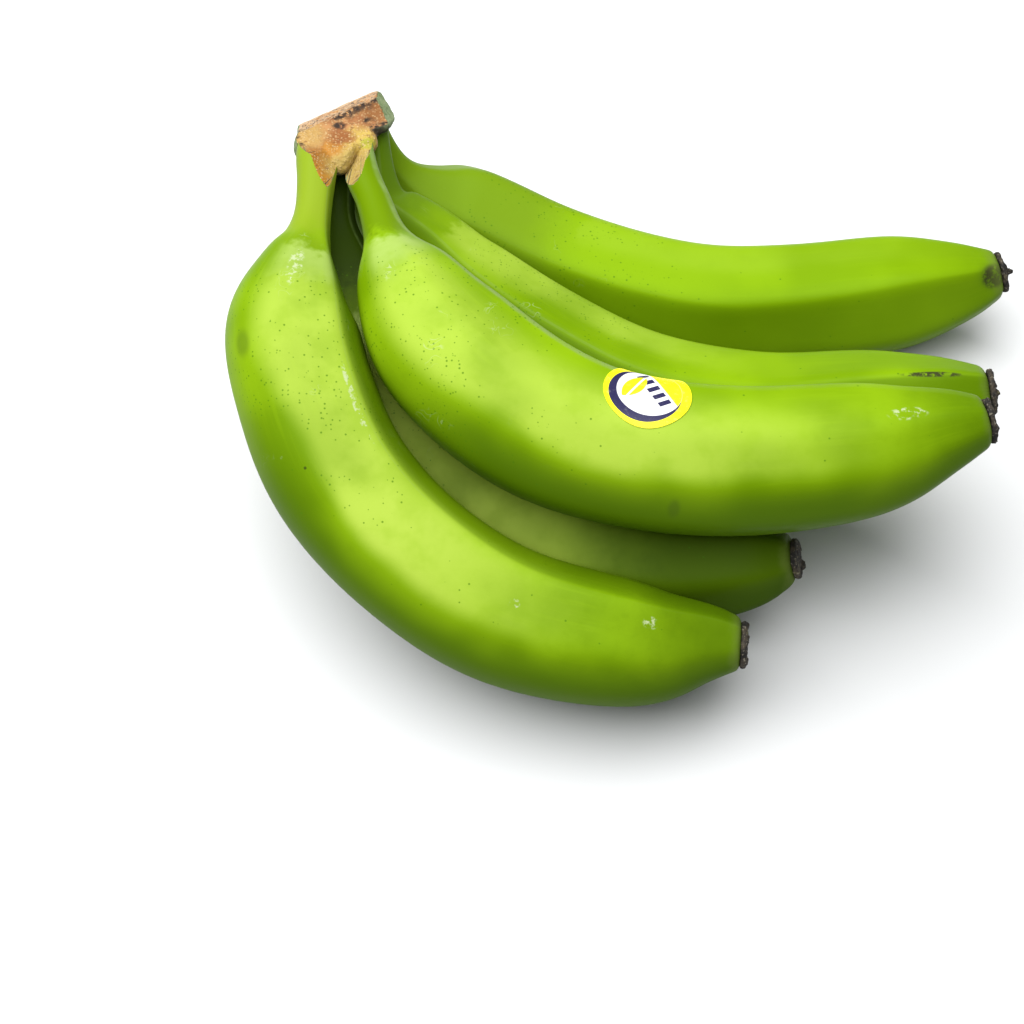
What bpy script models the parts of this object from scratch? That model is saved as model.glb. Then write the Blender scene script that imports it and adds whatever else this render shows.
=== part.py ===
"""A hand of five green plantains, lying as picked: five curved fingers that grow from one
short piece of cut crown, the dried flower end on the tip of each finger, and a small oval
label stuck on the middle finger. Metres, +Z up, the surface it rests on at z = 0.
"""

import math

import bmesh
import bpy
from mathutils import Matrix, Vector

MM = 0.001
GAP = 0.3 * MM  # between pieces that touch

# The layers of the hand lie across this direction, from its lower side to its upper side.
LAYER = Vector((0.0, -0.545, 0.839)).normalized()

# Each finger: the angle of its first ridge, and its stations from crown to blossom end,
# each with x, y, z of the middle and the half width there, in millimetres.
FINGERS = {
    "finger_1": (135, [
        (-112.5, 80, 84.5, 6.5), (-112.5, 60.5, 85, 6.5), (-113, 46, 85, 6.5),
        (-114.5, 34, 85, 8.5), (-117, 22.5, 84.5, 14), (-119, 1.5, 81, 22.2),
        (-113.5, -22.5, 72.5, 23.5), (-101.5, -48.5, 62, 24), (-78.5, -71.5, 50.5, 23.6),
        (-46, -89, 39, 23.5), (-4, -97, 34, 21), (20, -96, 34, 13.5), (32.5, -96, 35, 7.5)]),
    "finger_2": (130, [
        (-106, 94, 75.5, 5), (-106, 72, 69.5, 5.5), (-106, 55, 65, 6.5), (-102, 34, 57, 17.5),
        (-93, 10, 46, 22.5), (-71, -18, 31, 24), (-36, -43, 22, 23.5), (4, -57, 23, 22),
        (36, -62.5, 31, 16), (52, -64, 36, 7.5)]),
    "finger_3": (168, [
        (-100.5, 87, 83, 5.5), (-97, 66, 84, 6), (-92, 51, 85, 6), (-87, 32, 87, 8),
        (-81, 15, 86, 17), (-67.5, -9, 82, 24), (-39.5, -34.5, 78, 25.5), (-8.5, -47.3, 75, 24.5),
        (31, -50.7, 73, 24), (73, -47.3, 75, 21.7), (98, -42, 79, 14.2), (112.5, -38.7, 80.5, 7.8)]),
    "finger_4": (112, [
        (-93.5, 96, 82, 4.5), (-91, 80, 66, 5), (-86, 71, 57, 8), (-75, 60, 47, 16.8),
        (-61.5, 45.7, 39, 22), (-33.5, 25.5, 33, 23.5), (1, 5.3, 31.5, 24), (42, -8.5, 38.5, 23.2),
        (79, -14, 52, 20.5), (101, -14.4, 58.9, 15), (119, -13.5, 62, 8.2)]),
    "finger_5": (87, [
        (-97.5, 107.5, 73, 4.5), (-91.5, 100.5, 58, 4.5), (-85, 96, 47.5, 6.5),
        (-76, 92.5, 38.5, 14.5), (-66, 90.4, 31.8, 20.2), (-54, 86, 27.5, 21.8),
        (-29.5, 75, 22.8, 22), (0.5, 63, 22, 22), (29.5, 56.3, 22, 22), (62.5, 56.5, 22, 22),
        (97, 59, 24, 21.5), (121.5, 62.5, 26, 15), (136.5, 65, 28.5, 8)]),
}
SIDES = 20  # faces round a finger
STEPS = 2  # rings from one station to the next
FLAT = 0.93  # a finger is this much thinner across the layers than along them
RIDGES = 5
RIDGE = 0.03  # how far the ridges stand out, as a part of the half width
ROUND_BELOW = 12 * MM  # a neck or tip thinner than this loses its ridges

# The crown is a slab, wider than it is thick, with a knife cut facing up at its near end.
CROWN_EDGE = Vector((-105.5, 90.5, 89.5)) * MM  # middle of the slab's upper edge at the cut
CROWN_ACROSS = Vector((0.91, 0.34, 0.22))
CROWN_DOWN = Vector((0.40, -0.65, -0.65))
CROWN_WIDTH = 34 * MM
CROWN_THICK = 11 * MM
CROWN_LENGTH = 34 * MM
CROWN_ROUND = 2.5 * MM
KNIFE_POINT = Vector((-109, 55, 90.6)) * MM
KNIFE_NORMAL = Vector((0.0, 0.18, 0.98))
NECKS_FROM = 47 * MM  # no cut reaches the bodies of the fingers, which lie in front of this y

# The dried flower end is a rough disc, a little smaller than the tip it sits on.
SCAR_THICK = 3.2 * MM
SCAR_SIDES = 14
SCAR_FIT = 0.9

# The label lies on finger_3, this far along it, plus a slide, and at this angle round it.
LABEL_ALONG = 0.64
LABEL_SLIDE = 9 * MM
LABEL_ROUND = 146
LABEL_LENGTH = 29 * MM
LABEL_HEIGHT = 28 * MM
LABEL_THICK = 0.25 * MM


def clear_scene():
    for old in list(bpy.data.objects):
        bpy.data.objects.remove(old)


def make_collection(name, hidden=False):
    group = bpy.data.collections.new(name)
    group.hide_render = hidden
    bpy.context.scene.collection.children.link(group)
    return group


def make_material(name, colour, roughness):
    material = bpy.data.materials.new(name)
    material.use_nodes = True
    shader = material.node_tree.nodes["Principled BSDF"]
    shader.inputs["Base Color"].default_value = (*colour, 1.0)
    shader.inputs["Roughness"].default_value = roughness
    shader.inputs["Metallic"].default_value = 0.0
    return material


def add_object(name, bm, group, material=None):
    """Closes off a bmesh as a smooth object in a collection."""
    bmesh.ops.recalc_face_normals(bm, faces=bm.faces)
    mesh = bpy.data.meshes.new(name)
    bm.to_mesh(mesh)
    bm.free()
    mesh.shade_smooth()
    mesh.set_sharp_from_angle(angle=math.radians(40))
    if material is not None:
        mesh.materials.append(material)
    obj = bpy.data.objects.new(name, mesh)
    group.objects.link(obj)
    return obj


def smooth_run(stations):
    """Middles and half widths down a finger, on a smooth curve through its stations."""
    knots = [Vector(station) * MM for station in stations]
    knots = [knots[0] * 2 - knots[1], *knots, knots[-1] * 2 - knots[-2]]
    run = []
    for before, start, end, after in zip(knots, knots[1:], knots[2:], knots[3:]):
        for step in range(STEPS):
            t = step / STEPS
            bend = 2 * before - 5 * start + 4 * end - after
            twist = 3 * start - before - 3 * end + after
            run.append((2 * start + (end - before) * t + bend * t ** 2 + twist * t ** 3) / 2)
    run.append(knots[-2])
    return [point.to_3d() for point in run], [point.w for point in run]


def direction_at(middles, index):
    before = middles[max(index - 1, 0)]
    after = middles[min(index + 1, len(middles) - 1)]
    return (after - before).normalized()


def section_axes(direction):
    """The outward and the upward axis of a finger's section, where it runs this way."""
    outward = direction.cross(LAYER).normalized()
    return outward, outward.cross(direction)


def section_point(middle, direction, half, angle, ridge_angle):
    """A point on the skin, at an angle round the finger from its outer side."""
    outward, upward = section_axes(direction)
    strength = RIDGE * min(1.0, (half / ROUND_BELOW) ** 2)
    reach = half * (1 + strength * math.cos(RIDGES * (angle - ridge_angle)))
    return middle + outward * reach * math.cos(angle) + upward * reach * FLAT * math.sin(angle)


def grow_finger(ridge_degrees, stations):
    """A capped ring, extruded from the crown to the tip."""
    middles, halves = smooth_run(stations)
    ridge_angle = math.radians(ridge_degrees)
    bm = bmesh.new()
    bmesh.ops.create_circle(bm, cap_ends=True, segments=SIDES, radius=halves[0])
    end = bm.faces[:][0]
    ring = list(end.verts)
    for index, (middle, half) in enumerate(zip(middles, halves)):
        if index > 0:
            grown = bmesh.ops.extrude_discrete_faces(bm, faces=[end])
            end = grown["faces"][0]
            ring = list(end.verts)
        direction = direction_at(middles, index)
        for number, vert in enumerate(ring):
            angle = math.tau * number / SIDES
            vert.co = section_point(middle, direction, half, angle, ridge_angle)
    bmesh.ops.holes_fill(bm, edges=[edge for edge in bm.edges if edge.is_boundary])
    return bm


def slice_off(bm, point, normal):
    """Cuts away the neck or crown on the side that the normal points to, and closes the cut."""
    verts = {vert for vert in bm.verts if vert.co.y > NECKS_FROM}
    spans = [item for item in bm.edges[:] + bm.faces[:] if verts.issuperset(item.verts)]
    cut = bmesh.ops.bisect_plane(
        bm, geom=[*verts, *spans], plane_co=point, plane_no=normal, clear_outer=True)
    rim = [item for item in cut["geom_cut"] if isinstance(item, bmesh.types.BMEdge)]
    if rim:
        bmesh.ops.holes_fill(bm, edges=rim)


def make_fingers(group, peel):
    """The necks stop just short of the crown, and the knife also takes the top of the nearest two."""
    root = CROWN_EDGE + CROWN_DOWN.normalized() * (CROWN_THICK + GAP)
    for name, (ridge_degrees, stations) in FINGERS.items():
        bm = grow_finger(ridge_degrees, stations)
        slice_off(bm, root, -CROWN_DOWN)
        if name in ("finger_1", "finger_3"):
            slice_off(bm, KNIFE_POINT, KNIFE_NORMAL)
        add_object(name, bm, group, peel)


def make_crown(group, material):
    """A bevelled slab that runs back from the knife cut."""
    across = CROWN_ACROSS.normalized()
    down = (CROWN_DOWN - across * CROWN_DOWN.dot(across)).normalized()
    along = across.cross(down)
    spare = 10 * MM
    size = Vector((CROWN_WIDTH, CROWN_THICK, CROWN_LENGTH + spare))
    middle = CROWN_EDGE + down * CROWN_THICK / 2 + along * (CROWN_LENGTH - spare) / 2
    turn = Matrix((across, down, along)).transposed().to_4x4()
    bm = bmesh.new()
    bmesh.ops.create_cube(bm, size=1.0, matrix=Matrix.Diagonal((*size, 1.0)))
    bmesh.ops.bevel(
        bm, geom=bm.edges[:], offset=CROWN_ROUND, offset_type="OFFSET", segments=3,
        profile=0.5, affect="EDGES")
    bmesh.ops.transform(bm, matrix=Matrix.Translation(middle) @ turn, verts=bm.verts)
    slice_off(bm, KNIFE_POINT, KNIFE_NORMAL)
    return add_object("crown", bm, group, material)


def make_blossom_ends(group, material):
    """A short tapered disc on each tip, its axis along the finger."""
    for number, (_, stations) in enumerate(FINGERS.values(), start=1):
        middles, halves = smooth_run(stations)
        direction = direction_at(middles, len(middles) - 1)
        outward, upward = section_axes(direction)
        turn = Matrix((outward, upward * FLAT, direction)).transposed().to_4x4()
        place = Matrix.Translation(middles[-1] + direction * (GAP + SCAR_THICK / 2))
        half = halves[-1] * SCAR_FIT
        bm = bmesh.new()
        bmesh.ops.create_cone(
            bm, cap_ends=True, cap_tris=False, segments=SCAR_SIDES, radius1=half,
            radius2=half * 0.7, depth=SCAR_THICK, matrix=place @ turn)
        add_object(f"blossom_end_{number}", bm, group, material)


def grown_copy(name, source, distance, group):
    """A cutter with another object's shape, grown outwards along its normals."""
    cutter = bpy.data.objects.new(name, source.data.copy())
    cutter.display_type = "WIRE"
    cutter.hide_render = True
    group.objects.link(cutter)
    swell = cutter.modifiers.new("Swell", "DISPLACE")
    swell.mid_level = 0.0
    swell.strength = distance
    return cutter


def make_label(group, cutters, material, finger):
    """An oval prism, kept only where it lies in a thin layer just off the finger's skin."""
    ridge_degrees, stations = FINGERS["finger_3"]
    middles, halves = smooth_run(stations)
    index = round(LABEL_ALONG * (len(middles) - 1))
    direction = direction_at(middles, index)
    angle = math.radians(LABEL_ROUND)
    outward, upward = section_axes(direction)
    normal = (outward * math.cos(angle) + upward * math.sin(angle)).normalized()
    height = normal.cross(direction).normalized()
    turn = Matrix((direction * LABEL_LENGTH / 2, height * LABEL_HEIGHT / 2, normal * MM))
    centre = direction * LABEL_SLIDE + section_point(
        middles[index], direction, halves[index], angle, math.radians(ridge_degrees))
    bm = bmesh.new()
    bmesh.ops.create_cone(
        bm, cap_ends=True, segments=40, radius1=1.0, radius2=1.0, depth=30.0,
        matrix=Matrix.Translation(centre) @ turn.transposed().to_4x4())
    label = add_object("label", bm, group, material)
    for name, operation, distance in (
            ("label_outside", "INTERSECT", GAP + LABEL_THICK), ("label_inside", "DIFFERENCE", GAP)):
        cut = label.modifiers.new(operation.title(), "BOOLEAN")
        cut.operation = operation
        cut.solver = "EXACT"
        cut.object = grown_copy(name, finger, distance, cutters)
    return label


def build():
    clear_scene()
    parts = make_collection("plantain_hand")
    cutters = make_collection("cutters", hidden=True)
    make_fingers(parts, make_material("peel", (0.23, 0.45, 0.02), 0.42))
    make_crown(parts, make_material("cut_crown", (0.56, 0.32, 0.12), 0.75))
    make_blossom_ends(parts, make_material("dried_flower", (0.04, 0.03, 0.02), 0.9))
    make_label(
        parts, cutters, make_material("label_paper", (0.9, 0.8, 0.05), 0.35),
        bpy.data.objects["finger_3"])


build()
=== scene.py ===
import math
import random

import bpy
from mathutils import Matrix, Vector


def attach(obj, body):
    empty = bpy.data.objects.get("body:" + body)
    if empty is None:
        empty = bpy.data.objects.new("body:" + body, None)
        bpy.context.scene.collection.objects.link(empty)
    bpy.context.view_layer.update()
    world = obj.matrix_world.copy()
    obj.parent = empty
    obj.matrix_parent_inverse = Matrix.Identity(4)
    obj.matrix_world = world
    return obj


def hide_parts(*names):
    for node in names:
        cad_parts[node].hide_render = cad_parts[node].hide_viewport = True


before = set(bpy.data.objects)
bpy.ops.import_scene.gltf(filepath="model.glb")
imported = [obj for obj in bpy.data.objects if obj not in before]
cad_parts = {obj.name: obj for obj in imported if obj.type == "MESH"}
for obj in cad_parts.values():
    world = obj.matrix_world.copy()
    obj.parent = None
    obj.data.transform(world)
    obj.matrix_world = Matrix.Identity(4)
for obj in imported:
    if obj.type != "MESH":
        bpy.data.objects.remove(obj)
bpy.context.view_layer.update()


# ---------------------------------------------------------------------------
# The fingers: five green fruits of one hand. Each is a single growth, a thin
# neck that swells into a long curved body, with flats that meet in ridges, and
# narrows again to the scar of its flower.

MM = 0.001
LAYER = Vector((0.0, -0.545, 0.839)).normalized()  # the fingers lie in layers square to this
ROWS = 48  # rows of skin round a finger
RINGS = 4  # rings from one station to the next
KEEN = 15.0  # how crisply two flats meet on the body
NECK_KEEN = 3.5  # and on a thin neck, which is nearly round
FULL_BODY = 11 * MM  # the half width from which the flats are fully crisp
SQUAT = 0.93  # a finger is this much thinner across the layers
REST_GAP = 0.25 * MM  # how close to the floor the skin comes where it rests
FINGER_LENGTH = 280  # mm along the curve, near enough for all five
TWIST = {"finger_1": -6, "finger_4": 14, "finger_5": 14}  # degrees the ridges turn towards the tip
TWIST_FROM = 0.6  # how far along a finger that turn starts

# The angle of the main ridge, the flats counted from that ridge, and the stations from crown to
# tip, each with x, y, z of the middle and the half width there, in millimetres.
FINGERS = {
    "finger_1": (135, (-150, -112, -74, -33, 33, 90, 148), [
        (-112.5, 84, 84, 6.5), (-112.6, 73, 84.5, 7.6), (-112.5, 60.5, 85, 6.8),
        (-113, 46, 85, 6.5), (-114.5, 34, 85, 8.5), (-117, 22.5, 84.5, 14), (-119, 1.5, 81, 22.2),
        (-113.5, -22.5, 72.5, 23.5), (-101.5, -48.5, 62, 24), (-78.5, -71.5, 50.5, 23.6),
        (-46, -89, 39, 23.5), (-4, -97, 34, 21), (20, -96, 34, 13.5), (32.5, -96.8, 34.6, 8.4)]),
    "finger_2": (130, (-150, -90, -33, 33, 90, 148), [
        (-106, 94, 75.5, 5), (-106, 72, 69.5, 6), (-105.5, 55, 65, 7.2), (-102, 34, 57, 17.5),
        (-93, 10, 46, 22.5), (-71, -18, 31, 24), (-36, -43, 22, 23.5), (4, -57, 23, 22),
        (36, -62.5, 31, 16), (52, -64, 36, 7.5)]),
    "finger_3": (166, (-160, -118, -76, -33, 33, 92, 150), [
        (-100.5, 87, 83, 5.5), (-97, 66, 84, 6), (-92, 51, 85, 6), (-87, 32, 87, 8),
        (-81, 15, 86, 17), (-67.5, -9, 82, 24), (-39.5, -34.5, 78, 25.5), (-8.5, -47.3, 75, 24.5),
        (31, -50.7, 73, 24), (73, -47.3, 75, 21.7), (98, -42, 79, 14.2), (112.5, -38.7, 80.5, 8)]),
    "finger_4": (110, (-150, -90, -34, 34, 90, 148), [
        (-94, 96, 81, 5), (-93.5, 80, 65.5, 7.8), (-91, 71, 56, 13), (-76, 60, 47, 17.2),
        (-61.5, 45.7, 39, 22), (-33.5, 25.5, 33, 23.5), (1, 5.3, 31.5, 24), (42, -8.5, 38.5, 23.2),
        (79, -14, 52, 20.5), (101, -14.4, 58.9, 15), (119, -13.5, 62, 8.5)]),
    "finger_5": (85, (-150, -90, -36, 36, 90, 148), [
        (-97.5, 107.5, 73, 5), (-91.5, 100.5, 58, 5), (-85, 96, 47.5, 7),
        (-76, 92.5, 38.5, 14.5), (-66, 90.4, 31.8, 20.2), (-54, 86, 27.5, 21.8),
        (-29.5, 75, 22.8, 22), (0.5, 63, 22, 22), (29.5, 56.3, 22, 22), (62.5, 56.5, 22, 22),
        (97, 59, 24, 21.5), (121.5, 62.5, 26, 15), (136.5, 65, 28.5, 8.2)]),
}


def finger_run(stations):
    """Middles and half widths down a finger, on a smooth curve through its stations."""
    knots = [Vector(station) * MM for station in stations]
    knots = [knots[0] * 2 - knots[1], *knots, knots[-1] * 2 - knots[-2]]
    run = []
    for before, start, end, after in zip(knots, knots[1:], knots[2:], knots[3:]):
        for step in range(RINGS):
            t = step / RINGS
            bend = 2 * before - 5 * start + 4 * end - after
            twist = 3 * start - before - 3 * end + after
            run.append((2 * start + (end - before) * t + bend * t ** 2 + twist * t ** 3) / 2)
    run.append(knots[-2])
    return [point.to_3d() for point in run], [point.w for point in run]


def section_axes(middles, index):
    """The direction of a finger at a ring, and the outward and upward axes of its section."""
    direction = (middles[min(index + 1, len(middles) - 1)] - middles[max(index - 1, 0)]).normalized()
    outward = direction.cross(LAYER).normalized()
    return direction, outward, outward.cross(direction)


def flats_reach(angle, flats, keen):
    """How far the skin stands out at an angle from the main ridge."""
    total = sum(max(0.0, math.cos(angle - math.radians(flat))) ** keen for flat in flats)
    return total ** (-1 / keen)


def grow_finger(name, ridge_degrees, flats, stations):
    """A filled ring drawn straight up ring by ring, then carried onto the finger's curve."""
    middles, halves = finger_run(stations)
    bpy.ops.object.select_all(action="DESELECT")
    bpy.ops.mesh.primitive_circle_add(vertices=ROWS, radius=1.0, fill_type="NGON")
    finger = bpy.context.object
    finger.name = name + "_skin"
    bpy.ops.object.mode_set(mode="EDIT")
    bpy.ops.mesh.select_all(action="SELECT")
    for _ in middles[1:]:
        bpy.ops.mesh.extrude_region_move(TRANSFORM_OT_translate={"value": (0, 0, 1)})
    bpy.ops.object.mode_set(mode="OBJECT")
    mesh = finger.data
    along = [0.0]
    for start, end in zip(middles, middles[1:]):
        along.append(along[-1] + (end - start).length)
    girth = mesh.attributes.new("half_width", "FLOAT", "POINT")
    places = {}
    for vert in mesh.vertices:
        index = round(vert.co.z)
        from_ridge = math.atan2(vert.co.y, vert.co.x)
        past = max(0.0, along[index] / along[-1] - TWIST_FROM)
        turned = TWIST.get(name, 0) * past / (1 - TWIST_FROM)
        angle = from_ridge + math.radians(ridge_degrees + turned)
        half = halves[index]
        keen = NECK_KEEN + (KEEN - NECK_KEEN) * min(1.0, (half / FULL_BODY) ** 2)
        mean = sum(flats_reach(math.tau * k / 40, flats, keen) for k in range(40)) / 40
        spread = half * flats_reach(from_ridge, flats, keen) / mean
        _, outward, upward = section_axes(middles, index)
        vert.co = middles[index] + spread * (
            outward * math.cos(angle) + upward * SQUAT * math.sin(angle))
        vert.co.z = max(vert.co.z, REST_GAP)  # the skin gives a little where it rests
        places[vert.index] = (angle / math.tau + 0.25) % 1.0, along[index] / along[-1]
        girth.data[vert.index].value = half
    skin_map = mesh.uv_layers.new(name="skin")
    for face in mesh.polygons:
        arounds = [places[mesh.loops[loop].vertex_index][0] for loop in face.loop_indices]
        at_seam = len(arounds) == 4 and max(arounds) - min(arounds) > 0.5
        for loop in face.loop_indices:
            around, length = places[mesh.loops[loop].vertex_index]
            skin_map.data[loop].uv = (around + (at_seam and around < 0.5), length)
    bpy.ops.object.mode_set(mode="EDIT")
    bpy.ops.mesh.select_all(action="SELECT")
    bpy.ops.mesh.normals_make_consistent(inside=False)
    bpy.ops.object.mode_set(mode="OBJECT")
    smooth = finger.modifiers.new("smooth", "SUBSURF")
    smooth.levels = smooth.render_levels = 2
    bpy.ops.object.modifier_apply(modifier=smooth.name)
    bpy.ops.object.shade_smooth()
    return finger


def wire(tree, kind, plugs, **settings):
    """Adds a shader node; each plug is linked if it is another node's socket, else set."""
    node = tree.nodes.new("ShaderNode" + kind)
    for key, value in settings.items():
        setattr(node, key, value)
    for key, value in plugs.items():
        if isinstance(value, bpy.types.NodeSocket):
            tree.links.new(value, node.inputs[key])
        else:
            node.inputs[key].default_value = value
    return node


def sums(tree, operation, first, second=0.0, third=0.0):
    """One step of arithmetic on values or sockets."""
    return wire(tree, "Math", {0: first, 1: second, 2: third}, operation=operation).outputs[0]


def between(tree, value, low, high, start=0.0, end=1.0):
    """Rises smoothly from start to end as the value goes from low to high."""
    plugs = {"Value": value, "From Min": low, "From Max": high, "To Min": start, "To Max": end}
    return wire(tree, "MapRange", plugs, interpolation_type="SMOOTHSTEP").outputs[0]


def blended(tree, amount, under, over):
    """One colour laid over another by an amount."""
    plugs = {"Factor": amount, 6: under, 7: over}
    return wire(tree, "Mix", plugs, data_type="RGBA").outputs[2]


def clouds(tree, place, scale, detail=3.0, rough=0.5, warp=0.0):
    """A cloudy value, about 0.5 on average; a higher scale gives smaller clouds."""
    plugs = {"Vector": place, "Scale": scale, "Detail": detail, "Roughness": rough, "Distortion": warp}
    return wire(tree, "TexNoise", plugs).outputs["Fac"]


def skin_spot(tree, around, along, half_width, centre, size):
    """A soft oval on the skin: centre is (around, along), size in mm round and along."""
    across = sums(tree, "MULTIPLY", sums(tree, "SUBTRACT", around, centre[0]), math.tau / MM / size[0])
    across = sums(tree, "MULTIPLY", across, half_width)
    down = sums(tree, "MULTIPLY", sums(tree, "SUBTRACT", along, centre[1]), FINGER_LENGTH / size[1])
    reach = sums(tree, "SQRT", sums(
        tree, "ADD", sums(tree, "MULTIPLY", across, across), sums(tree, "MULTIPLY", down, down)))
    return between(tree, reach, 1.0, 0.0)


def peel_material(name, ridge_degrees, deep, fresh, neck, bloom, facet, marks):
    """Green waxy peel: blotches, a bloom of wax with a painted sheen, painted shade on the lower and far
    flats, dark pores, rubbed ridges with a painted highlight and dried latex.
    """
    wax_start, wax_fade, wax_middle, tip_start, wax_depth, neck_blend = bloom
    dark_side, dark_depth, line_width, scar_width, line_pale = facet
    peel = bpy.data.materials.new("peel_of_" + name)
    peel.use_nodes = True
    tree = peel.node_tree
    shader = tree.nodes["Principled BSDF"]
    place = wire(tree, "TexCoord", {}).outputs["Object"]
    skin = wire(tree, "UVMap", {}, uv_map="skin").outputs[0]
    parts = wire(tree, "SeparateXYZ", {0: skin})
    around, along = parts.outputs[0], parts.outputs[1]
    half_width = wire(tree, "Attribute", {}, attribute_name="half_width").outputs["Fac"]

    blotch = clouds(tree, place, 22, 2)
    fine = clouds(tree, place, 160, 3, 0.6)
    streak_place = wire(tree, "Mapping", {"Vector": skin, "Scale": (70, 9, 1)}).outputs[0]
    streak = clouds(tree, streak_place, 1.0, 2)
    colour = blended(tree, between(tree, blotch, 0.35, 0.65), (*deep, 1), (*fresh, 1))
    lighter = blended(tree, 0.5, colour, (*fresh, 1))
    colour = blended(tree, between(tree, streak, 0.5, 0.75, 0.0, 0.5), colour, lighter)
    colour = blended(tree, between(tree, fine, 0.5, 0.8, 0.0, 0.22), colour, (*deep, 1))

    # the neck keeps its own green, and the wax starts with an uneven edge where the body swells
    wander = sums(tree, "MULTIPLY_ADD", fine, 0.05, sums(tree, "MULTIPLY_ADD", blotch, 0.04, -0.045))
    along_wander = sums(tree, "ADD", along, wander)
    wax_and_sheen = sums(
        tree, "MULTIPLY", between(tree, along_wander, wax_start, wax_start + 0.018),
        between(tree, along_wander, wax_fade, wax_fade + 0.3, 1.0, 0.0))
    mottle = clouds(tree, place, 70, 3, 0.6)
    wax_and_sheen = sums(tree, "MULTIPLY", wax_and_sheen, between(tree, blotch, 0.25, 0.7, 0.5, 1.0))
    wax_and_sheen = sums(tree, "MULTIPLY", wax_and_sheen, between(tree, mottle, 0.32, 0.58, 0.7, 1.0))
    # it fades evenly to both sides near the neck, and faster on the lower side further on, since the
    # painted sheen it carries keeps to the lit upper side
    lower = sums(tree, "SUBTRACT", wax_middle + 0.04, sums(tree, "MULTIPLY_ADD", blotch, 0.08, around))
    low_edge = sums(tree, "MULTIPLY", lower, between(tree, along, 0.28, 0.5, 1.15, 2.1))
    side = sums(tree, "MAXIMUM", low_edge, sums(tree, "MULTIPLY", lower, -1.0))
    wax_and_sheen = sums(tree, "MULTIPLY", wax_and_sheen, between(tree, side, 0.06, 0.17, 1.0, 0.0))
    # the wax's pale colour is partly real bloom and partly a painted sheen
    colour = blended(tree, sums(tree, "MULTIPLY", wax_and_sheen, wax_depth), colour, (0.31, 0.415, 0.055, 1))
    # painted shade: a darker copy of the deep green, for flats that face away from the light
    painted_shade = (deep[0] * 0.5, deep[1] * 0.55, deep[2], 1)
    if dark_side > 0:  # the outer fingers: wax lies thickest at its start, and painted shade darkens the lower flat
        first_wax = between(tree, along_wander, wax_start + 0.03, wax_start + 0.07, 0.6, 0.0)
        first_wax = sums(tree, "MULTIPLY", wax_and_sheen, first_wax)
        colour = blended(tree, first_wax, colour, (0.26, 0.35, 0.12, 1))
        low_flat_shade = sums(tree, "MULTIPLY", between(tree, low_edge, 0.08, 0.34), between(
            tree, along, 0.3, 0.5, 0.0, 0.88))
        colour = blended(tree, low_flat_shade, colour, painted_shade)

    # painted shade: on some fingers the flat beyond the main ridge, turned from the light, is darkened
    # right from the ridge
    ridge = (ridge_degrees / 360 + 0.25) % 1.0
    ridge = between(tree, along, TWIST_FROM, 1.0, ridge, ridge + TWIST.get(name, 0) / 360)
    beyond_ridge_shade = sums(tree, "MULTIPLY", sums(tree, "SUBTRACT", around, ridge), dark_side)
    beyond_ridge_shade = between(tree, beyond_ridge_shade, 0.0, 0.015, 0.0, dark_depth)
    colour = blended(tree, beyond_ridge_shade, colour, painted_shade)
    on_neck = between(tree, along_wander, wax_start + 0.4 * neck_blend, wax_start - neck_blend)
    colour = blended(tree, on_neck, colour, (*neck, 1))

    # the green deepens again towards the tip
    dusk = between(tree, along_wander, tip_start, tip_start + 0.2, 0.0, 0.75)
    colour = blended(tree, dusk, colour, (deep[0] * 0.45, deep[1] * 0.5, deep[2], 1))

    # ridge lines, rubbed duller than the flats, and painted paler as a highlight along the ridge
    off_ridge = sums(tree, "ABSOLUTE", sums(tree, "SUBTRACT", around, ridge))
    off_ridge = sums(tree, "MULTIPLY", sums(tree, "MULTIPLY", off_ridge, half_width), math.tau / MM)
    rubbed_and_highlit = sums(
        tree, "MULTIPLY", between(tree, off_ridge, line_width, line_width * 0.55),
        between(tree, fine, 0.35, 0.6, 0.5, 1.0))
    rubbed_and_highlit = sums(tree, "MULTIPLY", rubbed_and_highlit, between(tree, along, 0.52, 0.64, 1.0, 0.15))
    colour = blended(tree, sums(tree, "MULTIPLY", rubbed_and_highlit, line_pale), colour, (0.16, 0.235, 0.065, 1))

    # pores: small dark green dots, thick on the shoulder and rare past it, and a few large flecks
    pore_cells = wire(tree, "TexVoronoi", {"Vector": place, "Scale": 640.0})
    pore_pick = wire(tree, "SeparateColor", {0: pore_cells.outputs["Color"]})
    crowd = sums(
        tree, "MULTIPLY", between(tree, clouds(tree, place, 45, 2), 0.36, 0.58),
        between(tree, along, 0.6, 0.42, 0.04, 1.0))
    crowd = sums(tree, "MULTIPLY", crowd, between(tree, along, 0.2, 0.27))
    pore_size = sums(tree, "MULTIPLY_ADD", pore_pick.outputs[1], 0.16, 0.12)
    pores = sums(tree, "MULTIPLY", sums(tree, "LESS_THAN", pore_pick.outputs[0], crowd), between(
        tree, sums(tree, "DIVIDE", pore_cells.outputs["Distance"], pore_size), 1.1, 0.6))
    colour = blended(tree, sums(tree, "MULTIPLY", pores, 0.75), colour, (0.05, 0.13, 0.002, 1))
    fleck_cells = wire(tree, "TexVoronoi", {"Vector": place, "Scale": 62.0})
    fleck_pick = wire(tree, "SeparateColor", {0: fleck_cells.outputs["Color"]})
    flecks = sums(tree, "MULTIPLY", sums(tree, "LESS_THAN", fleck_pick.outputs[0], 0.14), between(
        tree, fleck_cells.outputs["Distance"], 0.045, 0.025))
    colour = blended(tree, sums(tree, "MULTIPLY", flecks, 0.8), colour, (0.02, 0.028, 0.005, 1))

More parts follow.
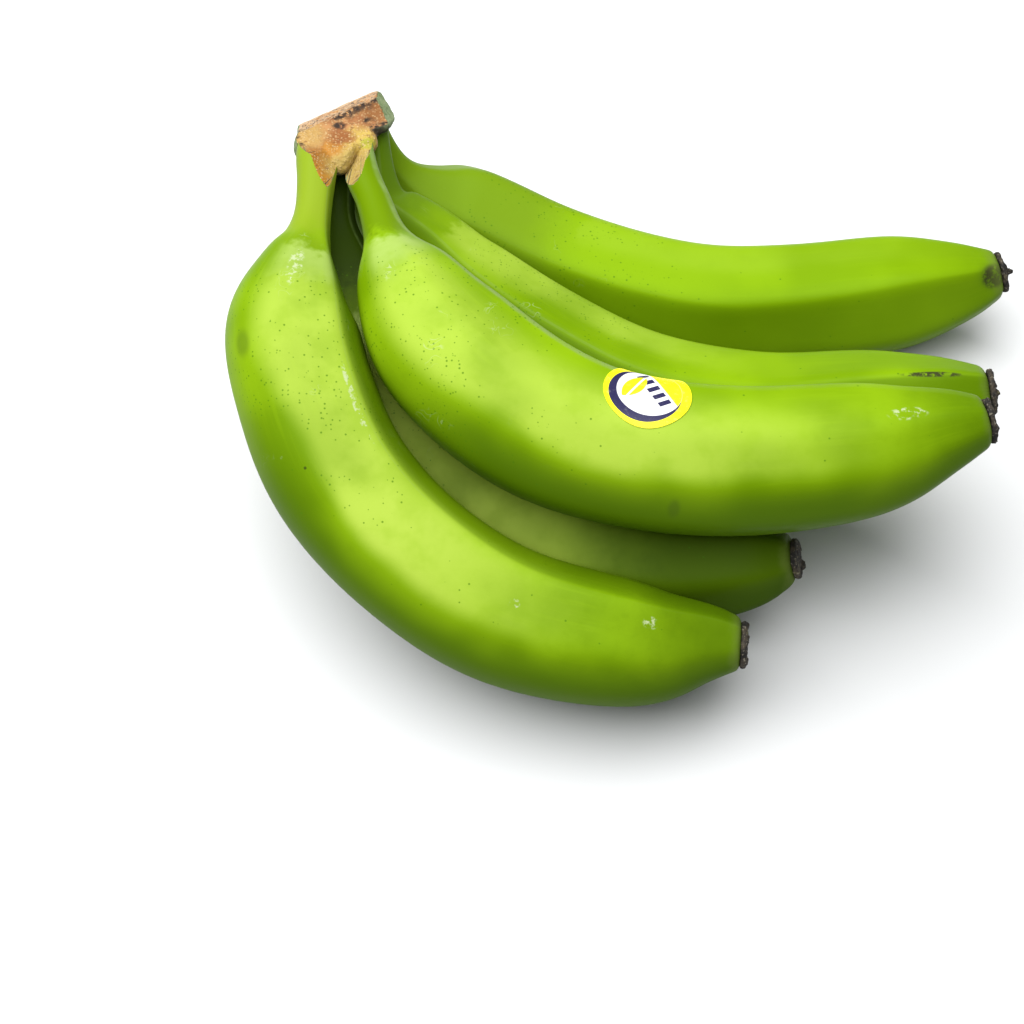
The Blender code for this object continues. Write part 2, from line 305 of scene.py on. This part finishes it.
    # dried latex: thin pale squiggles, only in some patches
    squiggle = sums(tree, "ABSOLUTE", sums(
        tree, "SUBTRACT", clouds(tree, place, 190, 1, 0.5, 1.2), 0.5))
    patch = between(tree, clouds(tree, place, 62, 1), 0.64, 0.72)
    torn = clouds(tree, place, 380, 3, 0.7)
    latex = sums(tree, "MULTIPLY", between(tree, squiggle, 0.022, 0.008), patch)
    latex = sums(tree, "MULTIPLY", latex, between(tree, along, 0.55, 0.25, 0.0, 0.6))
    latex = sums(tree, "MULTIPLY", latex, between(tree, along, 0.15, 0.2))
    for centre, size, kind in marks:
        spot = skin_spot(tree, around, along, half_width, centre, size)
        if kind == "latex":
            latex = sums(tree, "MAXIMUM", latex, sums(tree, "MULTIPLY", between(
                tree, spot, 0.15, 0.5), between(tree, torn, 0.5, 0.62)))
        if kind == "bruise":
            colour = blended(tree, sums(tree, "MULTIPLY", between(tree, spot, 0, 0.8), 0.5), colour, (
                0.05, 0.09, 0.006, 1))
        if kind == "black":
            black = sums(tree, "MULTIPLY", between(tree, spot, 0.1, 0.6), between(tree, torn, 0.38, 0.52))
            colour = blended(tree, black, colour, (0.03, 0.035, 0.01, 1))
    colour = blended(tree, sums(tree, "MULTIPLY", latex, 0.8), colour, (0.36, 0.41, 0.24, 1))

    # the tip turns dull round the scar of the flower
    scar_edge = between(tree, sums(tree, "MULTIPLY_ADD", fine, 0.02, along), 1.0 - scar_width, 1.008)
    colour = blended(tree, sums(tree, "MULTIPLY", scar_edge, 0.5), colour, (0.11, 0.15, 0.03, 1))
    tree.links.new(colour, shader.inputs["Base Color"])

    rough = between(tree, blotch, 0.3, 0.7, 0.36, 0.46)
    rough = sums(tree, "MULTIPLY_ADD", latex, 0.25, sums(tree, "MULTIPLY_ADD", rubbed_and_highlit, 0.15, rough))
    tree.links.new(rough, shader.inputs["Roughness"])
    shader.inputs["Specular IOR Level"].default_value = 0.03
    grain = clouds(tree, place, 900, 1, 0.6)
    height = sums(tree, "MULTIPLY_ADD", grain, 0.25, sums(tree, "MULTIPLY", streak, 0.35))
    bump = wire(tree, "Bump", {"Strength": 0.35, "Distance": 0.15 * MM, "Height": height})
    tree.links.new(bump.outputs[0], shader.inputs["Normal"])
    return peel


# Deep green, fresh green and neck green. Bloom: where along the finger the wax starts and fades,
# where round it the wax and its painted sheen lie, where the tip's deeper green starts, how thick
# the wax and sheen are and how softly the neck's green gives way. Facet: the side of the ridge that
# gets painted shade, how dark, the ridge line's width in mm, how wide the tip's dull rim is and how
# pale the ridge line's painted highlight is. Marks: the place round and along the finger, the size
# in mm and the kind.
LOOKS = {
    "finger_1": ((0.105, 0.195, 0.001), (0.165, 0.285, 0.003), (0.165, 0.24, 0.012),
                 (0.19, 0.56, 0.53, 0.79, 0.8, 0.05), (1, 0.4, 0.4, 0.008, 0.2), [
        ((0.51, 0.238), (4, 12), "latex"), ((0.61, 0.42), (1.6, 24), "latex"),
        ((0.54, 0.73), (3, 3), "latex"), ((0.57, 0.89), (3, 4), "latex"),
        ((0.385, 0.316), (5.5, 6), "bruise")]),
    # painted shade: the second finger lies between the first and third, so its greens are darker copies
    # and its neck green is near black
    "finger_2": ((0.07, 0.13, 0.001), (0.11, 0.19, 0.002), (0.018, 0.035, 0.001),
                 (0.28, 0.58, 0.5, 0.68, 0.85, 0.06), (1, 0, 0.6, 0.008, 0.2), []),
    "finger_3": ((0.11, 0.205, 0.001), (0.165, 0.285, 0.003), (0.095, 0.17, 0.001),
                 (0.2, 0.62, 0.52, 0.85, 0.62, 0.012), (1, 0.4, 3.4, 0.006, 0.85), [
        ((0.59, 0.91), (4, 10), "latex"), ((0.383, 0.65), (6.5, 2.8), "bruise")]),
    "finger_4": ((0.11, 0.205, 0.001), (0.155, 0.27, 0.002), (0.085, 0.16, 0.004),
                 (0.2, 0.45, 0.68, 0.9, 0.5, 0.08), (-1, 0.55, 0.6, 0.006, 0.2), [
        ((0.588, 0.935), (1.6, 14), "black")]),
    "finger_5": ((0.125, 0.23, 0.001), (0.155, 0.275, 0.002), (0.115, 0.2, 0.005),
                 (0.4, 0.75, 0.64, 0.9, 0.1, 0.1), (-1, 0.32, 0.6, 0.02, 0.05), [
        ((0.49, 0.985), (8, 10), "bruise"), ((0.48, 0.985), (7, 8), "black")]),
}
skins = {}
for name, (ridge_degrees, flats, stations) in FINGERS.items():
    finger = grow_finger(name, ridge_degrees, flats, stations)
    finger.data.materials.append(peel_material(name, ridge_degrees, *LOOKS[name]))
    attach(finger, "root")
    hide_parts(name)
    skins[name] = finger


# ---------------------------------------------------------------------------
# The crown: the short flat piece of stem that all five necks grow from. It was cut off the bunch
# at its back and trimmed on top with a slanting knife cut, which also sliced the tops of the two
# nearest necks. The cut flesh has dried brown and fibrous; the rest still has its waxy skin.

CROWN_EDGE = Vector((-105.5, 90.5, 89.5)) * MM  # middle of its upper edge at the knife cut
ACROSS = Vector((0.91, 0.34, 0.22)).normalized()
DOWN = Vector((0.40, -0.65, -0.65))
DOWN = (DOWN - ACROSS * DOWN.dot(ACROSS)).normalized()
BACK = ACROSS.cross(DOWN)
CROWN_WIDTH = 34 * MM
CROWN_THICK = 11 * MM
CROWN_LENGTH = 34 * MM
SPARE = 10 * MM  # left on past the edge for the knife to take off
KNIFE_POINT = Vector((-109, 55, 90.6)) * MM
KNIFE_NORMAL = Vector((0.0, 0.18, 0.98)).normalized()
END_POINT = Vector((-90.6, 97.5, 82.6)) * MM  # where the skin of the right end begins
END_NORMAL = (ACROSS * 0.75 + KNIFE_NORMAL * 0.66).normalized()
STRIP_POINT = Vector((-104.3, 94.2, 83.4)) * MM  # where the old cut meets the knife cut
STRIP_NORMAL = (KNIFE_NORMAL * 0.72 - DOWN * 0.70).normalized()
LUMPS = (  # middle and half sizes in mm: two webs between necks, left end, right end and its foot
    ((-104.6, 77, 83.5), (6.2, 11.5, 6)), ((-97.5, 80.5, 82.5), (6.5, 6, 4.5)),
    ((-117, 79, 82.5), (4.5, 5.6, 6)),
    ((-91.4, 96.5, 81), (6.2, 9.5, 5)), ((-93, 88.8, 82.8), (6.4, 4.8, 2.8)))
NEAR_TOPS = 47 * MM  # the near necks are cut only past this y, and the far ones past the next
FAR_TOPS = 75 * MM
FAR_UNDER = 0.6 * MM  # the far necks are cut this much under the crown's own cut
SMALLEST_CUT = 6 * MM ** 2  # a cut face is larger than this, and a face of skin is smaller
NECK_CUTS = {  # two facets on each near neck: a point of the cut, in mm, and which way it faces
    "finger_1": (((-108.9, 55.1, 90.3), (0.55, 0.17, 0.82)), ((-117, 75, 87.5), (0.2, 0.5, 0.84))),
    "finger_3": (((-98.2, 55.5, 88.7), (-0.72, 0.17, 0.67)), ((-92.5, 73, 87.4), (-0.15, 0.32, 0.93))),
}


def slice_off(piece, point, normal, from_y):
    """Cuts away what the normal points to, behind from_y, and closes the cut."""
    bpy.ops.object.select_all(action="DESELECT")
    bpy.context.view_layer.objects.active = piece
    piece.select_set(True)
    bpy.ops.object.mode_set(mode="EDIT")
    bpy.ops.mesh.select_all(action="DESELECT")
    bpy.ops.object.mode_set(mode="OBJECT")
    for vert in piece.data.vertices:
        vert.select = vert.co.y > from_y
    bpy.ops.object.mode_set(mode="EDIT")
    bpy.ops.mesh.select_mode(type="VERT")
    bpy.ops.mesh.bisect(plane_co=point, plane_no=normal, use_fill=True, clear_outer=True)
    bpy.ops.object.mode_set(mode="OBJECT")


def roughen(piece, name, size, depth, middle=0.5):
    """Real relief: pushes the skin in and out by a cloudy texture."""
    pattern = bpy.data.textures.new(name, "CLOUDS")
    pattern.noise_scale = size
    push = piece.modifiers.new(name, "DISPLACE")
    push.texture = pattern
    push.texture_coords = "GLOBAL"
    push.strength = depth
    push.mid_level = middle
    bpy.ops.object.modifier_apply(modifier=push.name)


def join_into(piece):
    """Makes the lump just added a part of a piece."""
    bpy.ops.object.transform_apply(location=True, rotation=True, scale=True)
    piece.select_set(True)
    bpy.context.view_layer.objects.active = piece
    bpy.ops.object.join()


def remesh(piece, voxel):
    """One closed even skin over joined lumps."""
    net = piece.modifiers.new("remesh", "REMESH")
    net.mode = "VOXEL"
    net.voxel_size = voxel
    net.use_smooth_shade = True
    bpy.ops.object.modifier_apply(modifier=net.name)


bpy.ops.object.select_all(action="DESELECT")
turn = Matrix((ACROSS, DOWN, BACK)).transposed()
bpy.ops.mesh.primitive_cube_add(
    size=1.0, location=CROWN_EDGE + DOWN * CROWN_THICK / 2 + BACK * (CROWN_LENGTH - SPARE) / 2,
    rotation=turn.to_euler(), scale=(CROWN_WIDTH, CROWN_THICK, CROWN_LENGTH + SPARE))
crown = bpy.context.object
crown.name = "crown_flesh"
bpy.ops.object.transform_apply(location=True, rotation=True, scale=True)
bpy.ops.object.mode_set(mode="EDIT")
bpy.ops.mesh.select_all(action="SELECT")
bpy.ops.mesh.bevel(offset=2.6 * MM, segments=4, profile=0.5, affect="EDGES")
bpy.ops.object.mode_set(mode="OBJECT")
for middle, half_sizes in LUMPS:
    bpy.ops.object.select_all(action="DESELECT")
    bpy.ops.mesh.primitive_uv_sphere_add(
        segments=24, ring_count=12, radius=MM, location=Vector(middle) * MM, scale=half_sizes)
    join_into(crown)
remesh(crown, 0.9 * MM)
slice_off(crown, END_POINT, END_NORMAL, 0.0)
slice_off(crown, KNIFE_POINT + KNIFE_NORMAL * 0.1 * MM, KNIFE_NORMAL, 0.0)
slice_off(crown, STRIP_POINT, STRIP_NORMAL, 0.0)
remesh(crown, 0.5 * MM)
soft = crown.modifiers.new("soften", "SMOOTH")
soft.factor, soft.iterations = 0.5, 4
bpy.ops.object.modifier_apply(modifier=soft.name)
roughen(crown, "crown_lumps", 7 * MM, 0.8 * MM, 0.6)
roughen(crown, "crown_fibres", 1.1 * MM, 0.5 * MM, 0.6)


def near(tree, place, centre, radius, soft=0.6):
    """1 round a point in space, given in millimetres, and 0 beyond the radius."""
    offset = wire(tree, "VectorMath", {0: place, 1: tuple(Vector(centre) * MM)}, operation="DISTANCE")
    return between(tree, offset.outputs["Value"], radius * MM, radius * MM * (1 - soft))


def facing(tree, direction, low, high):
    """How far the surface faces a direction."""
    normal = wire(tree, "NewGeometry", {}).outputs["Normal"]
    dot = wire(tree, "VectorMath", {0: normal, 1: tuple(direction)}, operation="DOT_PRODUCT")
    return between(tree, dot.outputs["Value"], low, high)


def crown_material():
    """Fibrous cut flesh where the knife passed, waxy grey-green skin elsewhere."""
    crust = bpy.data.materials.new("crown_cut")
    crust.use_nodes = True
    tree = crust.node_tree
    shader = tree.nodes["Principled BSDF"]
    place = wire(tree, "TexCoord", {}).outputs["Object"]
    uneven = clouds(tree, place, 130, 3, 0.6)
    fine = clouds(tree, place, 620, 3, 0.7)
    wander = wire(tree, "VectorMath", {
        0: wire(tree, "TexNoise", {"Vector": place, "Scale": 260.0}).outputs["Color"],
        1: (0.5, 0.5, 0.5)}, operation="SUBTRACT").outputs[0]
    wander = wire(tree, "VectorMath", {0: wander, "Scale": 5 * MM}, operation="SCALE").outputs[0]
    loose = wire(tree, "VectorMath", {0: place, 1: wander}).outputs[0]

    # flesh: brown ground, changed in patches, with pale fibre ends and dark pits
    flesh = blended(
        tree, between(tree, uneven, 0.38, 0.62), (0.20, 0.075, 0.022, 1), (0.31, 0.15, 0.05, 1))
    for centre, radius, colour in (
            ((-118.5, 80.5, 86), 12, (0.32, 0.195, 0.055)), ((-109.5, 62, 89), 15, (0.29, 0.115, 0.002)),
            ((-108.6, 68, 88.4), 8, (0.24, 0.085, 0.002)), ((-99, 66, 88.5), 15, (0.31, 0.22, 0.055)),
            ((-97.5, 79, 86.2), 9, (0.36, 0.25, 0.05)), ((-94, 77, 86.2), 4.5, (0.27, 0.25, 0.02)),
            ((-107, 74, 87.4), 6, (0.30, 0.13, 0.012)), ((-92.5, 95, 83.5), 8, (0.17, 0.065, 0.014)),
            ((-104, 80, 86), 6, (0.19, 0.065, 0.012))):
        flesh = blended(tree, near(tree, loose, centre, radius), flesh, (*colour, 1))
    fibres = wire(tree, "TexVoronoi", {"Vector": place, "Scale": 1050.0})
    fibre_pick = wire(tree, "SeparateColor", {0: fibres.outputs["Color"]}).outputs[0]
    dots = sums(tree, "MULTIPLY", between(tree, fibres.outputs["Distance"], 0.52, 0.28),
                between(tree, fibre_pick, 0.2, 0.5))
    dotted = sums(tree, "MULTIPLY", dots, between(tree, uneven, 0.35, 0.6, 0.25, 0.65))
    flesh = blended(tree, dotted, flesh, (0.44, 0.31, 0.15, 1))
    pits = sums(tree, "MULTIPLY", between(tree, fine, 0.52, 0.66), between(
        tree, uneven, 0.4, 0.6, 0.1, 0.7))
    flesh = blended(tree, pits, flesh, (0.10, 0.035, 0.008, 1))

    # painted shade: near-black spots in the cavities under the upper edge and along the rim under the
    # right end
    for centre, radius in (
            ((-107.5, 91.0, 84), 2.6), ((-105.2, 92, 83.9), 3.4), ((-102.2, 93.4, 83.6), 3.6),
            ((-99.4, 96.2, 83), 3.8), ((-96.4, 98.2, 82.6), 4), ((-93, 101.5, 82), 3.2),
            ((-95.4, 89.8, 84.2), 3), ((-92.4, 85.6, 84.9), 3.4), ((-88.6, 87.4, 84.6), 3.2),
            ((-117.7, 75.0, 86.9), 2.2), ((-121.2, 80.5, 86), 2.4), ((-105.2, 87, 84.7), 3)):
        hole_shade = sums(tree, "MULTIPLY", near(tree, loose, centre, radius, 0.8), between(
            tree, fine, 0.34, 0.5))
        flesh = blended(tree, hole_shade, flesh, (0.018, 0.009, 0.004, 1))

    # the old smooth cut along the back: pale and streaked along its length
    streak_place = wire(tree, "Mapping", {"Vector": place, "Scale": (1, 8, 8), "Rotation": (0, 0, -0.35)})
    streak = clouds(tree, streak_place.outputs[0], 90, 3, 0.6)
    strip = blended(
        tree, between(tree, streak, 0.35, 0.65), (0.44, 0.31, 0.19, 1), (0.38, 0.24, 0.13, 1))
    strip = blended(tree, near(tree, loose, (-119, 86, 88), 5), strip, (0.06, 0.05, 0.03, 1))

    # skin: grey green under wax, dark where it meets a cut
    skin = blended(
        tree, between(tree, uneven, 0.35, 0.7), (0.09, 0.13, 0.045, 1), (0.17, 0.21, 0.105, 1))
    skin = blended(tree, between(tree, fine, 0.5, 0.7, 0.0, 0.4), skin, (0.06, 0.10, 0.02, 1))
    for centre, radius in (((-92, 86, 81.5), 6.5), ((-119, 85.5, 86), 4)):
        skin = blended(tree, near(tree, loose, centre, radius), skin, (0.022, 0.016, 0.009, 1))

    # where the cut flesh shows: on faces that lie square to a cut, and round the webs
    depth = wire(tree, "SeparateXYZ", {0: place}).outputs[1]
    cut = facing(tree, KNIFE_NORMAL, 0.88, 0.96)
    not_the_end = between(tree, depth, 84 * MM, 81 * MM)
    for finger, cuts in NECK_CUTS.items():
        for _, cut_normal in cuts:
            sliced = facing(tree, Vector(cut_normal).normalized(), 0.985, 0.995)
            if finger == "finger_1":
                sliced = sums(tree, "MULTIPLY", sliced, not_the_end)
            cut = sums(tree, "MAXIMUM", cut, sliced)
    for centre, radius in (
            ((-105, 74, 87), 11), ((-109.5, 77, 87), 8), ((-96, 79, 86), 7), ((-115.5, 76.5, 87), 4.5)):
        cut = sums(tree, "MAXIMUM", cut, near(tree, loose, centre, radius, 0.25))
    old_cut = sums(tree, "MULTIPLY", facing(tree, -DOWN, 0.86, 0.95), between(
        tree, depth, 83 * MM, 86 * MM))
    rim = sums(tree, "MULTIPLY", cut, sums(tree, "SUBTRACT", 1.0, cut))
    colour = blended(tree, cut, skin, flesh)
    colour = blended(tree, old_cut, colour, strip)
    colour = blended(tree, between(tree, rim, 0.08, 0.25, 0.0, 0.8), colour, (0.035, 0.02, 0.01, 1))
    tree.links.new(colour, shader.inputs["Base Color"])
    tree.links.new(between(tree, fine, 0.3, 0.7, 0.55, 0.8), shader.inputs["Roughness"])
    shader.inputs["Specular IOR Level"].default_value = 0.3
    height = sums(tree, "MULTIPLY_ADD", fine, 0.6, sums(tree, "MULTIPLY", dots, 0.4))
    bump = wire(tree, "Bump", {"Strength": 0.7, "Distance": 0.5 * MM, "Height": height})
    tree.links.new(bump.outputs[0], shader.inputs["Normal"])
    return crust


crown_cut = crown_material()
crown.data.materials.append(crown_cut)

# the knife took the tops of the necks too: the far ones in one plane, the near ones in two facets
for name, skin in skins.items():
    if name not in NECK_CUTS:
        slice_off(skin, KNIFE_POINT - KNIFE_NORMAL * FAR_UNDER, KNIFE_NORMAL, FAR_TOPS)
    else:
        skin.data.materials.append(crown_cut)
        for point, cut_normal in NECK_CUTS[name]:
            slice_off(skin, Vector(point) * MM, Vector(cut_normal), NEAR_TOPS)
        for face in skin.data.polygons:
            flat = max(face.normal.dot(Vector(cut_normal).normalized())
                       for _, cut_normal in NECK_CUTS[name]) > 0.999
            if flat and face.center.y > NEAR_TOPS and face.area > SMALLEST_CUT:
                face.material_index = 1
                face.use_smooth = False

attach(crown, "root")
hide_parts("crown")


# ---------------------------------------------------------------------------
# The blossom ends: what is left of the flower on the tip of each finger, a hard dark crust with
# a torn edge, dried onto the skin. All five are built alike, and each is torn in its own way.

CRUST_HALF = 7.3 * MM
CRUST_THICK = 1.9 * MM
CRUST_TIP = 7.8 * MM  # the half width of the tip that a crust of that size fits
SHREDS = 7
WISPS = {"finger_5": 3.0, "finger_4": 1.6}  # a shred of petal left standing on some, in mm

crust_paint = bpy.data.materials.new("dried_crust")
crust_paint.use_nodes = True
tree = crust_paint.node_tree
shader = tree.nodes["Principled BSDF"]
place = wire(tree, "TexCoord", {}).outputs["Object"]
patchy = clouds(tree, place, 260, 3, 0.65)
grit = clouds(tree, place, 1100, 3, 0.7)
colour = blended(
    tree, between(tree, patchy, 0.38, 0.62), (0.008, 0.007, 0.006, 1), (0.036, 0.028, 0.018, 1))
olive = sums(tree, "MULTIPLY", between(tree, patchy, 0.58, 0.68), between(tree, grit, 0.45, 0.6))
colour = blended(tree, olive, colour, (0.12, 0.11, 0.05, 1))
colour = blended(tree, between(tree, grit, 0.56, 0.68, 0.0, 0.75), colour, (0.22, 0.20, 0.15, 1))
tree.links.new(colour, shader.inputs["Base Color"])
tree.links.new(between(tree, grit, 0.3, 0.7, 0.6, 0.92), shader.inputs["Roughness"])
shader.inputs["Specular IOR Level"].default_value = 0.25
bump = wire(tree, "Bump", {"Strength": 0.8, "Distance": 0.5 * MM, "Height": grit})
tree.links.new(bump.outputs[0], shader.inputs["Normal"])

random.seed(11)  # the order of the draws below sets how each crust is torn
for number, (name, (_, _, stations)) in enumerate(FINGERS.items(), start=1):
    middles, halves = finger_run(stations)
    direction, outward, upward = section_axes(middles, len(middles) - 1)
    bpy.ops.object.select_all(action="DESELECT")
    bpy.ops.mesh.primitive_cylinder_add(vertices=24, radius=CRUST_HALF, depth=CRUST_THICK)
    crust = bpy.context.object
    crust.name = f"dried_flower_{number}"
    bpy.ops.object.mode_set(mode="EDIT")
    bpy.ops.mesh.select_all(action="SELECT")
    bpy.ops.mesh.bevel(offset=0.7 * MM, segments=2, affect="EDGES")
    bpy.ops.object.mode_set(mode="OBJECT")
    for vert in crust.data.vertices:  # its outer face leans, to another side on each
        if vert.co.z > 0:
            vert.co.z *= 1 + 0.25 * math.cos(math.atan2(vert.co.y, vert.co.x) - number)
    for shred in range(SHREDS):  # lumps of dried petal round its edge
        angle = math.tau * (shred + random.random() * 0.7) / SHREDS
        reach = CRUST_HALF * random.uniform(0.4, 0.92)
        size = random.uniform(1.0, 1.7) * MM
        bpy.ops.object.select_all(action="DESELECT")
        bpy.ops.mesh.primitive_ico_sphere_add(
            subdivisions=2, radius=size,
            location=(reach * math.cos(angle), reach * math.sin(angle), CRUST_THICK * 0.35),
            scale=(1.2, 0.8, 0.7))
        join_into(crust)
    if name in WISPS:
        length = WISPS[name] * MM
        bpy.ops.object.select_all(action="DESELECT")
        bpy.ops.mesh.primitive_cone_add(
            vertices=10, radius1=1.5 * MM, radius2=0.5 * MM, depth=length,
            location=(0.5 * MM, 2.5 * MM, CRUST_THICK / 2 + length * 0.4), rotation=(0.35, 0.2, 0))
        join_into(crust)

    # pressed onto the tip at the tip's own size and joined into one crust
    fit = halves[-1] / CRUST_TIP
    turn = Matrix((outward * fit, upward * SQUAT * fit, direction)).transposed().to_4x4()
    onto_tip = Matrix.Translation(middles[-1] + direction * CRUST_THICK * 0.22)
    crust.data.transform(onto_tip @ turn)
    remesh(crust, 0.4 * MM)
    roughen(crust, f"crust_lumps_{number}", 2.6 * MM, 1.0 * MM)
    roughen(crust, f"crust_grit_{number}", 0.9 * MM, 0.6 * MM)
    crust.data.materials.append(crust_paint)
    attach(crust, "root")
    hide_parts(f"blossom_end_{number}")


# ---------------------------------------------------------------------------
# The label: an oval of glossy printed paper, stuck on the middle finger and following its skin.
# Its print is a made-up leaf and a row of bars in rings of yellow, navy and white.

LABEL_AT = (147.5, 0.614)  # degrees round the finger and how far along it
LABEL_HALF = (14.5 * MM, 13.2 * MM)
LABEL_STEPS = 14  # rings from its middle to its edge
LABEL_SLIDE = 3.8  # mm, set back towards the crown from the nearest ring of the finger
LABEL_LIFT = 40  # mm, held clear of the finger until it is pressed on

middles, halves = finger_run(FINGERS["finger_3"][2])
lengths = [0.0]
for start, end in zip(middles, middles[1:]):
    lengths.append(lengths[-1] + (end - start).length)
index = min(range(len(lengths)), key=lambda k: abs(lengths[k] / lengths[-1] - LABEL_AT[1]))
direction, outward, upward = section_axes(middles, index)
angle = math.radians(LABEL_AT[0])
off_skin = (outward * math.cos(angle) + upward * math.sin(angle)).normalized()
rise = off_skin.cross(direction).normalized()
bpy.ops.object.select_all(action="DESELECT")
bpy.ops.mesh.primitive_circle_add(vertices=72, radius=1.0, fill_type="NGON")
label = bpy.context.object
label.name = "label_print"
bpy.ops.object.mode_set(mode="EDIT")
bpy.ops.mesh.select_all(action="SELECT")
for step in range(LABEL_STEPS - 1):
    bpy.ops.mesh.inset(thickness=1.0 / LABEL_STEPS, use_even_offset=False)
bpy.ops.mesh.poke()
bpy.ops.object.mode_set(mode="OBJECT")
print_map = label.data.uv_layers.new(name="print")
for loop in label.data.loops:
    spot = label.data.vertices[loop.vertex_index].co
    print_map.data[loop.index].uv = (spot.x, spot.y)
turn = Matrix((direction * LABEL_HALF[0], rise * LABEL_HALF[1], off_skin)).transposed().to_4x4()
held = Matrix.Translation(middles[index] + off_skin * LABEL_LIFT * MM - direction * LABEL_SLIDE * MM)
label.data.transform(held @ turn)
wrap = label.modifiers.new("wrap", "SHRINKWRAP")
wrap.target = skins["finger_3"]
wrap.wrap_method = "PROJECT"
wrap.use_negative_direction = True
wrap.use_positive_direction = True
wrap.offset = 0.12 * MM
bpy.ops.object.modifier_apply(modifier=wrap.name)
paper = label.modifiers.new("paper", "SOLIDIFY")
paper.thickness = 0.22 * MM
paper.offset = 1.0
bpy.ops.object.modifier_apply(modifier=paper.name)
bpy.ops.object.shade_smooth_by_angle(angle=math.radians(40))


def disc(tree, place, centre, radius, squash=1.0):
    """1 inside a round spot on the label's own map."""
    moved = wire(tree, "Mapping", {
        "Vector": place, "Location": (-centre[0], -centre[1] * squash, 0), "Scale": (1, squash, 1)})
    size = wire(tree, "VectorMath", {0: moved.outputs[0]}, operation="LENGTH").outputs["Value"]
    return between(tree, size, radius + 0.008, radius - 0.008)


printed = bpy.data.materials.new("label_print")
printed.use_nodes = True
tree = printed.node_tree
shader = tree.nodes["Principled BSDF"]
place = wire(tree, "UVMap", {}, uv_map="print").outputs[0]
space = wire(tree, "TexCoord", {}).outputs["Object"]
YELLOW, NAVY, WHITE = (0.72, 0.66, 0.002, 1), (0.012, 0.010, 0.05, 1), (0.62, 0.62, 0.62, 1)
ink = blended(tree, disc(tree, place, (-0.05, -0.04), 0.83), YELLOW, NAVY)
field = disc(tree, place, (0.04, 0.05), 0.74)
ink = blended(tree, field, ink, WHITE)
tilted = wire(tree, "Mapping", {"Vector": place, "Rotation": (0, 0, -0.62)}).outputs[0]
parts = wire(tree, "SeparateXYZ", {0: tilted})
right, up = parts.outputs[0], parts.outputs[1]
ink = blended(tree, sums(tree, "MULTIPLY", between(tree, right, 0.40, 0.42), field), ink, YELLOW)
waves = sums(tree, "SINE", sums(tree, "MULTIPLY", up, 26.0))
bars = sums(tree, "MULTIPLY", between(tree, waves, -0.25, -0.05), between(
    tree, sums(tree, "ABSOLUTE", sums(tree, "SUBTRACT", right, 0.20)), 0.16, 0.14))
bars = sums(tree, "MULTIPLY", bars, between(tree, sums(tree, "ABSOLUTE", up), 0.58, 0.56))
ink = blended(tree, bars, ink, NAVY)
leaf = sums(
    tree, "MULTIPLY", disc(tree, place, (-0.62, 0.36), 0.58), disc(tree, place, (0.0, -0.06), 0.58))
ink = blended(tree, leaf, ink, YELLOW)
along_leaf = wire(tree, "Mapping", {"Vector": place, "Rotation": (0, 0, 0.47)}).outputs[0]
vein = sums(tree, "ABSOLUTE", sums(
    tree, "ADD", wire(tree, "SeparateXYZ", {0: along_leaf}).outputs[0], 0.31))
ink = blended(tree, sums(tree, "MULTIPLY", between(tree, vein, 0.03, 0.015), leaf), ink, WHITE)
worn = clouds(tree, space, 500, 2, 0.6)
ink = blended(tree, between(tree, worn, 0.55, 0.75, 0.0, 0.12), ink, (0.5, 0.5, 0.42, 1))
tree.links.new(ink, shader.inputs["Base Color"])
tree.links.new(between(tree, worn, 0.3, 0.7, 0.34, 0.46), shader.inputs["Roughness"])
shader.inputs["Specular IOR Level"].default_value = 0.25
bump = wire(tree, "Bump", {"Strength": 0.15, "Distance": 0.05 * MM, "Height": worn})
tree.links.new(bump.outputs[0], shader.inputs["Normal"])
label.data.materials.append(printed)
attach(label, "root")
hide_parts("label")


# ---------------------------------------------------------------------------
# The stage: a plain pale floor, soft light from above, and the camera.

bpy.ops.object.select_all(action="DESELECT")
bpy.ops.mesh.primitive_plane_add(size=8.0, location=(0, 0, 0))
floor = bpy.context.object
floor.name = "floor"
pale = bpy.data.materials.new("pale_floor")
pale.use_nodes = True
shader = pale.node_tree.nodes["Principled BSDF"]
shader.inputs["Base Color"].default_value = (0.55, 0.555, 0.56, 1.0)
shader.inputs["Roughness"].default_value = 0.9
floor.data.materials.append(pale)

lamp = bpy.data.lights.new("top_light", "AREA")
lamp.shape = "SQUARE"
lamp.size = 2.4
lamp.energy = 95
light = bpy.data.objects.new("top_light", lamp)
bpy.context.scene.collection.objects.link(light)
light.location = (-0.4, 0.15, 1.5)
aim = Vector((0, 0, 0.03)) - light.location
light.rotation_euler = aim.to_track_quat("-Z", "Y").to_euler()
world = bpy.data.worlds.new("studio")
world.use_nodes = True
backdrop = world.node_tree.nodes["Background"]
backdrop.inputs["Color"].default_value = (0.95, 0.98, 1.0, 1.0)
backdrop.inputs["Strength"].default_value = 0.27
bpy.context.scene.world = world
bpy.context.scene.view_settings.view_transform = "Standard"

lens = bpy.data.cameras.new("camera")
lens.sensor_width = 36.0
lens.angle = math.radians(23.48)
camera = bpy.data.objects.new("camera", lens)
bpy.context.scene.collection.objects.link(camera)
camera.location = (-0.0439, -0.5047, 0.7435)
camera.rotation_euler = (math.radians(33.0), 0.0, 0.0)
bpy.context.scene.camera = camera
